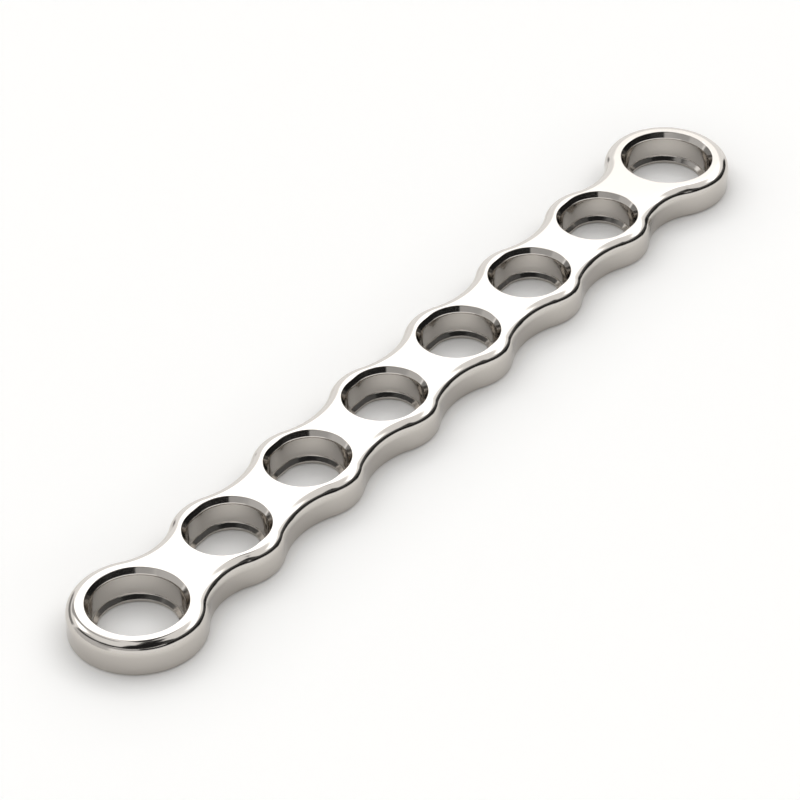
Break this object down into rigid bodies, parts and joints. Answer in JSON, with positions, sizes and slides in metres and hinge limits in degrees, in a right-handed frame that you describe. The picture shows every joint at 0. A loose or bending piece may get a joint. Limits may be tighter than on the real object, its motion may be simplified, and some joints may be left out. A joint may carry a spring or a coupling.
{
  "type": "orthopedic bone plate",
  "caption": "Straight metal bone plate with scalloped sides and a row of seated screw holes, larger at both ends.",
  "frame": {"origin": "middle of the flat bone side", "axes": "+X along the plate, +Z out of the screw heads' side; Y across"},
  "size_m": [0.0982, 0.0126, 0.0032],
  "materials": {
    "polished_steel": "electropolished 316L stainless steel"
  },
  "bodies": {
    "root": {"bone_plate": "polished_steel"}
  },
  "joints": []
}
